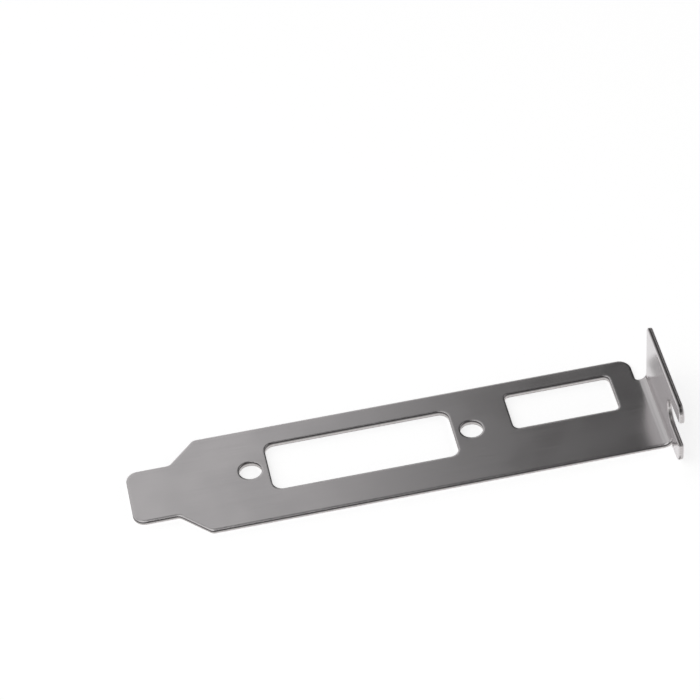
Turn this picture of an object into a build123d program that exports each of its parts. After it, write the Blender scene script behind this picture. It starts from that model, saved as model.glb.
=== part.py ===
from build123d import *
from math import isclose, radians, sin, tan
import os

os.makedirs("parts", exist_ok=True)

# Low profile bracket: one folded sheet. Lengths in mm.
# The plate lies flat with its outer face on z = 0, the tongue points to -X, and the
# screw tab stands up at the +X end with its slot open towards -Y.

# Sheet and fold
overall_length = 79.2      # tongue end to the tab's outer face
plate_width = 18.42
sheet = 0.86
bend_radius = 1.1          # inside radius of the fold
tab_height = 11.43         # plate's outer face to the tab's free edge
edge_roll = 0.3            # rounding the punch leaves on the upper edges

# Tongue that goes into the slot of the case
tongue_width = 10.19
tongue_length = 6.6        # straight part, up to the shoulders
tongue_corner = 1.8
shoulder_hollow = 1.0      # inner corner between tongue and shoulder
shoulder_corner = 1.0      # outer corner between shoulder and long edge

# Wide connector cut-out, with a jack screw hole at each end
wide_length = 27.6
wide_height = 9.3
wide_corner = 1.5
wide_offset = 1.0          # middle of the plate to the middle of the cut-out
hole_diameter = 3.4
hole_web = 1.0             # metal between the cut-out and each hole
hole_to_small = 4.35       # metal between the second hole and the small cut-out

# Small connector cut-out near the fold
small_length = 16.0
small_height = 7.2
small_corner = 0.9
small_to_fold = 4.19       # metal between the cut-out and the fold
small_offset = 3.0         # middle of the plate to the middle of the cut-out

# Screw tab
tab_width = 17.7           # far side to the ends of the two fingers
tab_far_inset = 4.5        # far long edge of the plate to the tab's far side
tab_far_corner = 0.6       # upper corner on the far side
tab_near_corner = 1.6      # upper corner on the finger's side
finger_corner = 1.2        # lower corner of the lower finger
finger_break = 0.35        # finger corners beside the slot and the slit
slot_width = 4.42
slot_depth = 6.4           # finger ends to the round end of the slot
slot_height = 6.45         # plate's outer face to the middle of the slot
finger_bottom = 0.6        # plate's outer face to the lower edge of the lower finger

# Reliefs beside the fold
far_plate_corner = 1.9
far_relief = 0.42          # hollow corner between the plate's end and the fold
slit_width = 0.3           # parts the lower finger from the fold
slit_over_fold = 0.25      # how far the slit runs past the fold

# Sizes that follow from the ones above
half_width = plate_width / 2
half_tongue = tongue_width / 2
outer_radius = bend_radius + sheet
bend_start = overall_length - outer_radius
inner_face_x = overall_length - sheet
shoulder_end = tongue_length + half_width - half_tongue
far_end_x = bend_start - far_relief
tab_far_y = half_width - tab_far_inset
tab_end_y = tab_far_y - tab_width
slot_end_y = tab_end_y + slot_depth
slot_low = slot_height - slot_width / 2
slot_high = slot_height + slot_width / 2
upper_corner = min(tab_near_corner, tab_height - slot_high - finger_break)
slit_end_y = -half_width - slit_width
slit_top = outer_radius + slit_over_fold
hole_spacing = wide_length + 2 * hole_web + hole_diameter
small_x = bend_start - small_to_fold - small_length / 2
last_hole_x = small_x - small_length / 2 - hole_to_small - hole_diameter / 2
wide_x = last_hole_x - hole_spacing / 2
middle_x = overall_length / 2
middle_y = (half_width + tab_end_y) / 2


def rounded_outline(corners):
    """Closed face through (x, y, radius) corners, each rounded by its own radius."""
    points = [Vector(x, y) for x, y, radius in corners]
    pieces = []
    count = len(corners)
    for i in range(count):
        to_last = (points[i - 1] - points[i]).normalized()
        to_next = (points[(i + 1) % count] - points[i]).normalized()
        half_angle = to_last.get_angle(to_next) / 2
        radius = corners[i][2]
        run = radius / tan(radians(half_angle))
        reach = radius / sin(radians(half_angle)) - radius
        middle = points[i] + (to_last + to_next).normalized() * reach
        pieces.append((points[i] + to_last * run, middle, points[i] + to_next * run))
    with BuildLine() as outline:
        for i in range(count):
            start, middle, end = pieces[i]
            following = pieces[(i + 1) % count][0]
            if (end - start).length > 1e-6:
                ThreePointArc(start, middle, end)
            if (following - end).length > 1e-6:
                Line(end, following)
    return make_face(outline.edges())


plate_corners = [
    (0, half_tongue, tongue_corner),
    (0, -half_tongue, tongue_corner),
    (tongue_length, -half_tongue, shoulder_hollow),
    (shoulder_end, -half_width, shoulder_corner),
    (bend_start, -half_width, 0),
    (bend_start, tab_far_y, 0),
    (far_end_x, tab_far_y, far_relief),
    (far_end_x, half_width, far_plate_corner),
    (shoulder_end, half_width, shoulder_corner),
    (tongue_length, half_tongue, shoulder_hollow),
]

tab_corners = [
    (tab_far_y, outer_radius, 0),
    (tab_far_y, tab_height, tab_far_corner),
    (tab_end_y, tab_height, upper_corner),
    (tab_end_y, slot_high, finger_break),
    (slot_end_y, slot_high, slot_width / 2),
    (slot_end_y, slot_low, slot_width / 2),
    (tab_end_y, slot_low, finger_break),
    (tab_end_y, finger_bottom, finger_corner),
    (slit_end_y, finger_bottom, finger_break),
    (slit_end_y, slit_top, slit_width / 2),
    (-half_width, slit_top, slit_width / 2),
    (-half_width, outer_radius, 0),
]

with BuildPart() as bracket:
    # Flat plate with its tongue and shoulders
    with BuildSketch(Plane.XY):
        add(rounded_outline(plate_corners))
    extrude(amount=sheet)

    # Quarter fold, drawn from the side at the far end and swept to the near edge
    with BuildSketch(Plane.XZ.offset(-tab_far_y)):
        with BuildLine():
            Line((bend_start, 0), (bend_start, sheet))
            RadiusArc((bend_start, sheet), (inner_face_x, outer_radius), -bend_radius)
            Line((inner_face_x, outer_radius), (overall_length, outer_radius))
            RadiusArc((overall_length, outer_radius), (bend_start, 0), outer_radius)
        make_face()
    extrude(amount=tab_far_y + half_width)

    # Upright tab with its slot and two fingers
    with BuildSketch(Plane.YZ.offset(inner_face_x)):
        add(rounded_outline(tab_corners))
    extrude(amount=sheet)

    # Punched connector cut-outs and jack screw holes
    with BuildSketch(Plane.XY):
        with Locations((wide_x, wide_offset)):
            RectangleRounded(wide_length, wide_height, wide_corner)
            with GridLocations(hole_spacing, 0, 2, 1):
                Circle(hole_diameter / 2)
        with Locations((small_x, small_offset)):
            RectangleRounded(small_length, small_height, small_corner)
    extrude(amount=sheet, mode=Mode.SUBTRACT)

    # Rounding along the upper side of every sheared edge, carried through the fold
    plate_top = bracket.faces().filter_by(Plane.XY).group_by(Axis.Z)[1]
    tab_inside = bracket.faces().filter_by(Plane.YZ).group_by(Axis.X)[-2]
    arcs = bracket.faces().filter_by(GeomType.CYLINDER)
    fold_inside = arcs.filter_by(lambda face: isclose(face.radius, bend_radius))
    shown = plate_top + tab_inside + fold_inside.sort_by(SortBy.AREA)[-1:]
    edges = shown.edges()
    rolled = [edge for edge in edges if sum(edge.is_same(other) for other in edges) == 1]
    fillet(rolled, edge_roll)

# The origin goes to the middle of the outline, level with the plate's outer face
bracket.part.position = (-middle_x, -middle_y, 0)
bracket.part.label = "bracket"
export_step(bracket.part, "parts/bracket.step")
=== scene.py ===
"""Low profile bracket: bright nickel plate on a white table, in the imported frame. Metres."""
from math import cos, radians, sin
from types import SimpleNamespace

import bpy
from mathutils import Matrix, Vector


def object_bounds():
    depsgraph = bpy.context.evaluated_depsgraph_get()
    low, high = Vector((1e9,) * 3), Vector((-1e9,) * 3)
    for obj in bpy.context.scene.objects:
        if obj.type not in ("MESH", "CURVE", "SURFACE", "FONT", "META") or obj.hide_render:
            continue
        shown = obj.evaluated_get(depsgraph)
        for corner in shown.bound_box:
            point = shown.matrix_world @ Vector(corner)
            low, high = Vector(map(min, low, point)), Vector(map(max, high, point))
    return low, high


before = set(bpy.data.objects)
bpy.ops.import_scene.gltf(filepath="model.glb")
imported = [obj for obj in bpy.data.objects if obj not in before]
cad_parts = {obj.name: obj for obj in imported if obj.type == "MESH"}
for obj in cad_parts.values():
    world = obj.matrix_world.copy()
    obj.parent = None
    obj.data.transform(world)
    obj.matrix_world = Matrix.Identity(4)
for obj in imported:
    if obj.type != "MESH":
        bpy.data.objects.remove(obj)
cad_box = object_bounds()
low, high = [Vector(corner) for corner in cad_box]
MM = 0.001

# Camera, as the photograph was taken
CAMERA_AIM = Vector((-2.59, 24.37, 0)) * MM
CAMERA_DISTANCE = 444.6 * MM
CAMERA_AZIMUTH = 7.6         # degrees from +Y towards +X
CAMERA_ELEVATION = 44.81     # degrees down
CAMERA_ROLL = -5.11          # degrees
CAMERA_LENS = 151.0          # mm
CAMERA_FRAME = 36.0          # mm wide
CAMERA_NEAREST = 10 * MM

# Surroundings in the metal: their plain brightness, and the soft flags that shade it
SKY = 0.76
DARKEST = 0.05               # where flags overlap
FLAGS = [
    # azimuth, elevation, full inside, gone outside (degrees), taken away (negative brightens)
    (40, 43.5, 20.6, 24.2, 0.72),
    (44, 44, 14, 46, 0.16),
    (-3, 48, 4, 17, -0.11),
    (-26, 50, 8, 20, 0.14),
    (44, 12, 16, 30, 0.62),
    (25, 12, 8, 22, 0.5),
    (185, 72, 34, 50, 0.66),
    (190, 18, 12, 30, 0.3),
    (140, 28, 12, 36, 0.3),
    (238, 18, 16, 34, 0.42),
]

# Table
TABLE_HALF = 1500 * MM
TABLE_GAP = 0.02 * MM        # between the part and the table
TABLE_WHITE = (0.8, 0.8, 0.8, 1)
TABLE_SEEN = 0.7             # glow added for the camera
TABLE_MIRRORED = 0.62        # glow added in the metal

# Sheet, in millimetres as in the CAD
SHEET = 0.86
FOLD_OUTER = 1.96                    # outside radius of the fold
FOLD_X = high.x / MM - FOLD_OUTER    # where the fold starts
FOLD_Z = low.z / MM + FOLD_OUTER     # where the fold ends

# Where each change starts and where it is full, in millimetres; depth is from the outer face
TORN_DEPTH = (0.46, 0.26)
# Painted shade: band at the top of each wall, under the rolled edge, that is painted near black
PAINTED_SHADE_DEPTH = (0.36, 0.6)
LEAN_DEPTH = (0.1, SHEET - 0.03)
UPRIGHT_Z = (1.4, 11.0)
FINGER_Z = (1.6, 2.4)
CRISP_Z = (0.9, 1.6)
STRAINED_X = (FOLD_X - 0.6, FOLD_X + 0.3)
STRAINED_Z = (2.6, 1.6)

# The same for how squarely the surface faces a direction, and for noise
WALL_FACING = (0.75, 0.2)
FINGER_FACING = (0.5, 0.9)
NOISE_WIDE = (0.3, 0.7)
NOISE_MIDDLE = (0.35, 0.65)
NOISE_HIGH = (0.4, 0.7)

# Colours, and how much of them the walls take
NICKEL_LIGHT = (0.745, 0.718, 0.724, 1)
NICKEL_DARK = (0.72, 0.697, 0.704, 1)
WALL_TONE = (0.52, 0.495, 0.49, 1)
TORN_TONE = (0.66, 0.635, 0.63, 1)
# Painted shade: near-black colour for that band, standing in for the dark reflection under the
# rolled edge
PAINTED_SHADE_TONE = (0.13, 0.123, 0.123, 1)
WALL_SHARE = (0.4, 1.0)
# How much of the painted shade that band takes
PAINTED_SHADE_SHARE = (0.0, 0.95)

# Roughness, from the least to the most that each mark gives
GRAIN_ROUGH = (0.19, 0.22)
CLOUD_ROUGH = (0.0, 0.03)
ROLLING_ROUGH = (-0.01, 0.01)
STRAINED_ROUGH = 0.07
TORN_ROUGH = (0.08, 0.26)
SOFTEST_FACE = 0.27          # past about 0.274 the denoiser no longer looks into the mirror

# Relief
EDGE_RADIUS = (0.4 * MM, 0.06 * MM)      # on the plate, and on the crisper tab
EDGE_SAMPLES = 8
WALL_LEAN = (-0.12, 0.0)                 # mm, at the plate and near the tab's free edge
STREAK_RELIEF = 0.006 * MM
TEAR_RELIEF = 0.012 * MM
ROLLING_RELIEF = 0.0015 * MM
GRAIN_RELIEF = 0.0006 * MM

# How far streaks are drawn out through the sheet, and how fast rolling lines change on it
STREAK_STRETCH = 0.85
ROLLING_ALONG = 0.06
ROLLING_ACROSS = 3.2


def direction(azimuth, elevation):
    """Unit vector; azimuth 0 is +Y and 90 is +X."""
    a, e = radians(azimuth), radians(elevation)
    return Vector((sin(a) * cos(e), cos(a) * cos(e), sin(e)))


def add_camera():
    data = bpy.data.cameras.new("camera")
    data.lens = CAMERA_LENS
    data.sensor_width = CAMERA_FRAME
    data.clip_start = CAMERA_NEAREST
    camera = bpy.data.objects.new("camera", data)
    bpy.context.collection.objects.link(camera)
    forward = direction(CAMERA_AZIMUTH, -CAMERA_ELEVATION)
    camera.location = CAMERA_AIM - forward * CAMERA_DISTANCE
    turn = forward.to_track_quat("-Z", "Y").to_matrix()
    camera.rotation_euler = (turn @ Matrix.Rotation(radians(CAMERA_ROLL), 3, "Z")).to_euler()
    bpy.context.scene.camera = camera


class Nodes:
    """Short calls for building a node tree."""

    def __init__(self, tree):
        self.tree = tree
        tree.nodes.clear()

    def add(self, kind, **settings):
        node = self.tree.nodes.new("ShaderNode" + kind)
        for name, value in settings.items():
            setattr(node, name, value)
        return node

    def put(self, socket, value):
        """Links a socket or sets a value; None leaves the node's own."""
        if isinstance(value, bpy.types.NodeSocket):
            self.tree.links.new(value, socket)
        elif value is not None:
            socket.default_value = value

    def math(self, operation, a, b=None):
        node = self.add("Math", operation=operation)
        self.put(node.inputs[0], a)
        self.put(node.inputs[1], b)
        return node.outputs[0]

    def vector(self, operation, a, b=None, scale=None):
        node = self.add("VectorMath", operation=operation)
        self.put(node.inputs[0], a)
        self.put(node.inputs[1], b)
        if scale is not None:
            self.put(node.inputs["Scale"], scale)
        return node.outputs["Value" if operation == "DOT_PRODUCT" else "Vector"]

    def join(self, x=None, y=None, z=None):
        node = self.add("CombineXYZ")
        for socket, value in zip(node.inputs, (x, y, z)):
            self.put(socket, value)
        return node.outputs[0]

    def ramp(self, value, start, end, first=0.0, last=1.0, kind="SMOOTHSTEP"):
        """Runs from first to last as value runs from start to end, and no further."""
        node = self.add("MapRange", interpolation_type=kind)
        for socket, item in zip(node.inputs, (value, start, end, first, last)):
            self.put(socket, item)
        return node.outputs[0]

    def noise(self, vector, scale, detail, rough):
        node = self.add("TexNoise", noise_dimensions="3D")
        self.put(node.inputs["Vector"], vector)
        self.put(node.inputs["Scale"], scale)
        self.put(node.inputs["Detail"], detail)
        self.put(node.inputs["Roughness"], rough)
        return node.outputs[0]

    def blend(self, factor, a, b):
        node = self.add("Mix", data_type="RGBA")
        self.put(node.inputs[0], factor)
        self.put(node.inputs[6], a)
        self.put(node.inputs[7], b)
        return node.outputs[2]

    def bump(self, height, distance, normal):
        node = self.add("Bump")
        self.put(node.inputs["Height"], height)
        self.put(node.inputs["Strength"], 1.0)
        self.put(node.inputs["Distance"], distance)
        self.put(node.inputs["Normal"], normal)
        return node.outputs[0]


def light_world():
    """White to the camera; in the metal a pale room with soft flags, most of them dark."""
    world = bpy.data.worlds.new("studio")
    world.use_nodes = True
    bpy.context.scene.world = world
    n = Nodes(world.node_tree)
    way = n.add("TexCoord").outputs["Generated"]
    sky = SKY
    for azimuth, elevation, inside, outside, depth in FLAGS:
        near = n.vector("DOT_PRODUCT", way, direction(azimuth, elevation))
        shade = n.ramp(near, cos(radians(outside)), cos(radians(inside)), 0.0, depth)
        sky = n.math("SUBTRACT", sky, shade)
    sky = n.math("MAXIMUM", sky, DARKEST)
    path = n.add("LightPath")
    background = n.add("Background")
    n.put(background.inputs["Strength"], n.math("MAXIMUM", sky, path.outputs["Is Camera Ray"]))
    output = n.add("OutputWorld")
    n.put(output.inputs["Surface"], background.outputs[0])


def add_table():
    """White table that keeps a faint shadow round the part."""
    half = TABLE_HALF
    mesh = bpy.data.meshes.new("table")
    corners = [(-half, -half, 0), (half, -half, 0), (half, half, 0), (-half, half, 0)]
    mesh.from_pydata(corners, [], [(0, 1, 2, 3)])
    table = bpy.data.objects.new("table", mesh)
    table.location.z = low.z - TABLE_GAP
    bpy.context.collection.objects.link(table)
    material = bpy.data.materials.new("table_white")
    material.use_nodes = True
    n = Nodes(material.node_tree)
    path = n.add("LightPath")
    diffuse = n.add("BsdfDiffuse")
    n.put(diffuse.inputs["Color"], TABLE_WHITE)
    glow = n.add("Emission")
    seen = n.math("MULTIPLY", path.outputs["Is Camera Ray"], TABLE_SEEN)
    mirrored = n.math("MULTIPLY", path.outputs["Is Glossy Ray"], TABLE_MIRRORED)
    n.put(glow.inputs["Strength"], n.math("ADD", seen, mirrored))
    both = n.add("AddShader")
    n.put(both.inputs[0], diffuse.outputs[0])
    n.put(both.inputs[1], glow.outputs[0])
    output = n.add("OutputMaterial")
    n.put(output.inputs["Surface"], both.outputs[0])
    mesh.materials.append(material)


def add_lamp(name, azimuth, elevation, distance, size, power):
    data = bpy.data.lights.new(name, "AREA")
    data.size = size
    data.energy = power
    lamp = bpy.data.objects.new(name, data)
    way = direction(azimuth, elevation)
    lamp.location = way * distance
    lamp.rotation_euler = (-way).to_track_quat("-Z", "Y").to_euler()
    bpy.context.collection.objects.link(lamp)


def read_sheet(n):
    """Place on the folded sheet in mm, depth in from its outer face, and what is sheared wall."""
    coordinate = n.add("TexCoord")
    normal = coordinate.outputs["Normal"]
    place = n.vector("SCALE", coordinate.outputs["Object"], scale=1 / MM)
    split = n.add("SeparateXYZ")
    n.put(split.inputs[0], place)
    x, y, z = split.outputs

    # On the plate, round the fold and up the tab, across points out through the outer face
    along = n.math("MAXIMUM", n.math("SUBTRACT", x, FOLD_X), 0.0)
    below = n.math("MAXIMUM", n.math("SUBTRACT", FOLD_Z, z), 0.0)
    spread = n.math("ADD", n.math("MULTIPLY", along, along), n.math("MULTIPLY", below, below))
    least = 0.001    # keeps the two divisions below away from nought
    radius = n.math("MAXIMUM", n.math("SQRT", spread), least)
    down = n.math("MULTIPLY", below, -1.0)
    across = n.join(x=n.math("DIVIDE", along, radius), z=n.math("DIVIDE", down, radius))
    facing = n.math("ABSOLUTE", n.vector("DOT_PRODUCT", normal, across))
    sideways = n.math("ABSOLUTE", n.vector("DOT_PRODUCT", normal, (0.0, 1.0, 0.0)))
    on_tab = n.ramp(z, *FINGER_Z)
    return SimpleNamespace(
        place=place, x=x, y=y, z=z, across=across,
        depth=n.math("SUBTRACT", FOLD_OUTER, radius),
        wall=n.ramp(facing, *WALL_FACING),
        finger_end=n.math("MULTIPLY", on_tab, n.ramp(sideways, *FINGER_FACING)),
    )


def read_marks(n, sheet):
    """Marks of punching, rolling and plating, each from 0 to 1."""
    through = n.vector("DOT_PRODUCT", sheet.place, sheet.across)
    shift = n.vector("SCALE", sheet.across, scale=n.math("MULTIPLY", through, -STREAK_STRETCH))
    drawn_out = n.vector("ADD", sheet.place, shift)
    length = n.math("MULTIPLY", n.math("ADD", sheet.x, sheet.z), ROLLING_ALONG)
    width = n.math("MULTIPLY", sheet.y, ROLLING_ACROSS)
    return SimpleNamespace(
        torn=n.math("MULTIPLY", sheet.wall, n.ramp(sheet.depth, *TORN_DEPTH)),
        streaks=n.noise(drawn_out, scale=5.5, detail=3.0, rough=0.6),
        tears=n.noise(sheet.place, scale=9.0, detail=4.0, rough=0.65),
        rolling=n.noise(n.join(x=length, y=width), scale=1.0, detail=3.0, rough=0.6),
        grain=n.noise(sheet.place, scale=7.0, detail=3.0, rough=0.55),
        cloud=n.noise(sheet.place, scale=0.11, detail=2.0, rough=0.5),
    )


def nickel_tone(n, sheet, marks):
    """Plating; its walls are streaked and pale where torn, with painted shade near black at their
    top under the rolled edge.
    """
    streaked = n.math("MULTIPLY", sheet.wall, n.ramp(marks.streaks, *NOISE_WIDE, *WALL_SHARE))
    pale = n.math("MULTIPLY", marks.torn, n.ramp(marks.tears, *NOISE_HIGH))
    # Painted shade: the top of each wall is painted near black, except on the finger ends
    dark = n.math("MULTIPLY", sheet.wall, n.ramp(sheet.depth, *PAINTED_SHADE_DEPTH, *PAINTED_SHADE_SHARE))
    dark = n.math("MULTIPLY", dark, n.math("SUBTRACT", 1.0, sheet.finger_end))
    tone = n.blend(n.ramp(marks.cloud, *NOISE_WIDE), NICKEL_LIGHT, NICKEL_DARK)
    tone = n.blend(streaked, tone, WALL_TONE)
    tone = n.blend(pale, tone, TORN_TONE)
    return n.blend(dark, tone, PAINTED_SHADE_TONE)


def nickel_roughness(n, sheet, marks):
    """Soft mirror, softer where the fold strains the sheet and where a wall is torn."""
    grain = n.ramp(marks.grain, *NOISE_WIDE, *GRAIN_ROUGH)
    rough = n.math("ADD", grain, n.ramp(marks.cloud, *NOISE_MIDDLE, *CLOUD_ROUGH))
    rough = n.math("ADD", rough, n.ramp(marks.rolling, *NOISE_MIDDLE, *ROLLING_ROUGH))
    strained = n.math("MULTIPLY", n.ramp(sheet.x, *STRAINED_X), n.ramp(sheet.z, *STRAINED_Z))
    rough = n.math("ADD", rough, n.math("MULTIPLY", strained, STRAINED_ROUGH))
    rough = n.math("MINIMUM", rough, SOFTEST_FACE)
    tears = n.ramp(marks.tears, *NOISE_MIDDLE, *TORN_ROUGH)
    return n.math("ADD", rough, n.math("MULTIPLY", marks.torn, tears))


def nickel_relief(n, sheet, marks):
    """Softened edges, walls that lean back towards the rolled edge, and the marks' own height."""
    softened = n.add("Bevel", samples=EDGE_SAMPLES)
    n.put(softened.inputs["Radius"], n.ramp(sheet.z, *CRISP_Z, *EDGE_RADIUS))
    rise = n.ramp(sheet.depth, *LEAN_DEPTH, kind="LINEAR")
    lean = n.ramp(sheet.z, *UPRIGHT_Z, *WALL_LEAN, kind="LINEAR")
    leaning = n.math("MULTIPLY", n.math("MULTIPLY", rise, rise), lean)
    relief = n.bump(leaning, MM, softened.outputs[0])
    relief = n.bump(n.math("MULTIPLY", sheet.wall, marks.streaks), STREAK_RELIEF, relief)
    relief = n.bump(n.math("MULTIPLY", marks.torn, marks.tears), TEAR_RELIEF, relief)
    relief = n.bump(marks.rolling, ROLLING_RELIEF, relief)
    return n.bump(marks.grain, GRAIN_RELIEF, relief)


def nickel():
    """Bright nickel plating on rolled steel sheet, with sheared walls."""
    material = bpy.data.materials.new("nickel_plate")
    material.use_nodes = True
    n = Nodes(material.node_tree)
    sheet = read_sheet(n)
    marks = read_marks(n, sheet)
    shader = n.add("BsdfPrincipled")
    n.put(shader.inputs["Metallic"], 1.0)
    n.put(shader.inputs["Base Color"], nickel_tone(n, sheet, marks))
    n.put(shader.inputs["Roughness"], nickel_roughness(n, sheet, marks))
    n.put(shader.inputs["Normal"], nickel_relief(n, sheet, marks))
    output = n.add("OutputMaterial")
    n.put(output.inputs["Surface"], shader.outputs[0])
    return material


def dress_bracket():
    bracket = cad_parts["bracket"]
    bracket.data.materials.clear()
    bracket.data.materials.append(nickel())


add_camera()
light_world()
add_table()
add_lamp("key", azimuth=235, elevation=60, distance=1.0, size=0.9, power=2.0)
dress_bracket()

scene = bpy.context.scene
scene.view_settings.view_transform = "Standard"
